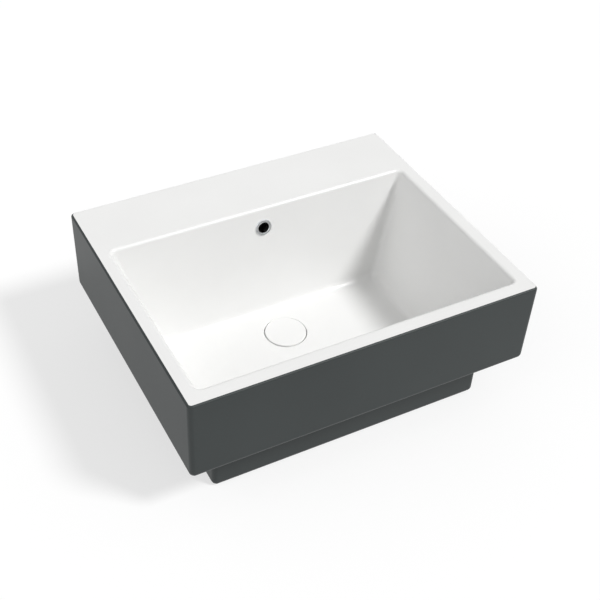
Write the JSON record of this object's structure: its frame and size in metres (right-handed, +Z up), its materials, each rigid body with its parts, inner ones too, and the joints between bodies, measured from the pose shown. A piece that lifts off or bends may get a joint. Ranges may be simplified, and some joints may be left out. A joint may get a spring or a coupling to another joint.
{
  "type": "countertop basin",
  "caption": "Rectangular countertop basin with a stepped base, a wide tap ledge, an overflow hole and a push-to-open waste under a white cover.",
  "frame": {"origin": "centre of the base plane, under the middle of the outer box", "axes": "+Z up, +Y towards the wall behind the basin, +X to the right of someone who stands at it"},
  "size_m": [0.6, 0.497, 0.247],
  "materials": {
    "basin_glaze": "white glaze inside and on the rim, dark glaze outside",
    "cover_glaze": "white glaze",
    "chrome_ring": "polished",
    "waste_chrome": "polished",
    "nut_brass": "turned",
    "stem_brass": "turned",
    "spring_steel": "drawn wire",
    "black_rubber": "matt",
    "clear_rubber": "translucent grey",
    "carrier_plastic": "moulded",
    "cup_plastic": "moulded",
    "white_plastic": "moulded"
  },
  "bodies": {
    "basin": {"basin_body": "basin_glaze", "overflow_ring": "chrome_ring", "overflow_bush": "black_rubber", "click_spring": "spring_steel", "cartridge_body": "cup_plastic", "cartridge_cap": "white_plastic", "waste_body": "waste_chrome", "flange_gasket": "clear_rubber", "base_gasket": "black_rubber", "slip_washer": "white_plastic", "lock_nut": "nut_brass"},
    "plug": {"drain_cover": "cover_glaze", "cover_carrier": "carrier_plastic", "plug_seal": "black_rubber", "plug_stem": "stem_brass"},
    "ratchet": {"ratchet_ring": "white_plastic"}
  },
  "joints": [
    {"name": "plug_slide", "type": "slide", "parent": "basin", "child": "plug", "axis": [0, 0, 1], "range_m": [0, 0.008], "deforming": ["click_spring"]},
    {"name": "ratchet_turn", "type": "hinge", "parent": "plug", "child": "ratchet", "pos_m": [0, 0.0235, 0.02], "axis": [0, 0, 1], "range_deg": [0, 45]}
  ],
  "couplings": [
    {"joint": "ratchet_turn", "follows": "plug_slide", "rad_per_m": 98.17}
  ]
}
